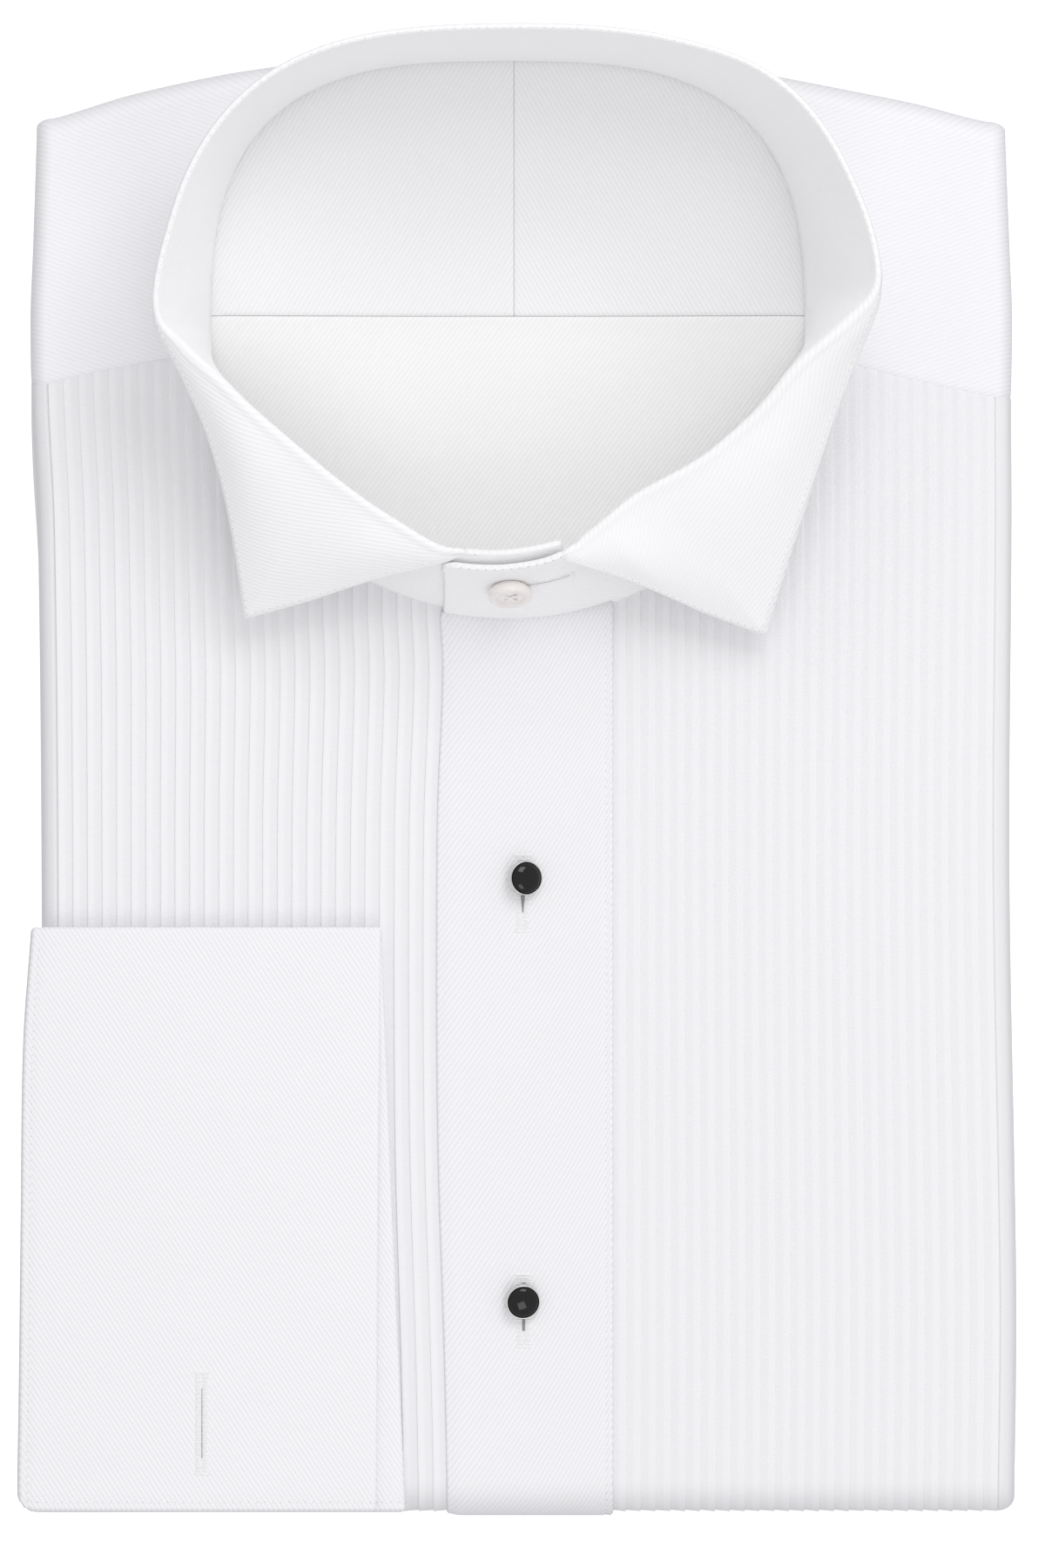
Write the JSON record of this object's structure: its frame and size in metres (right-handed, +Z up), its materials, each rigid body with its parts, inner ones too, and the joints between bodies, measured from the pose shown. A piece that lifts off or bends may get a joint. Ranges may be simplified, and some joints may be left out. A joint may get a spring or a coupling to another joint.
{
  "type": "folded long sleeve dress shirt",
  "caption": "Folded white evening shirt lying flat, with a wing collar, pleated front, stud placket and one French cuff on top.",
  "frame": {"origin": "middle of the underside of the folded shirt, on the surface that it lies on", "axes": "+Z up off the surface, +Y up the front to the collar, +X to the viewer's right, the wearer's left"},
  "size_m": [0.2342, 0.3502, 0.0651],
  "materials": {
    "twill_cotton": "white cotton twill, soft sheen",
    "pleated_cotton": "white plain weave cotton in fine vertical pleats",
    "folded_cotton": "white cotton, folded layers",
    "button_resin": "pearl resin",
    "stud_silver": "polished silver",
    "stud_onyx": "polished black stone"
  },
  "bodies": {
    "root": {"front_right": "pleated_cotton", "front_left": "pleated_cotton", "placket": "twill_cotton", "yoke_right": "twill_cotton", "yoke_left": "twill_cotton", "yoke_lining_right": "twill_cotton", "yoke_lining_left": "twill_cotton", "back": "twill_cotton", "folded_layers": "folded_cotton", "collar": "twill_cotton", "collar_button": "button_resin", "stud_upper_rim": "stud_silver", "stud_upper_stone": "stud_onyx", "stud_lower_rim": "stud_silver", "stud_lower_stone": "stud_onyx", "cuff_lower_leaf": "twill_cotton", "cuff_upper_leaf": "twill_cotton", "sleeve_right": "folded_cotton"}
  },
  "joints": []
}
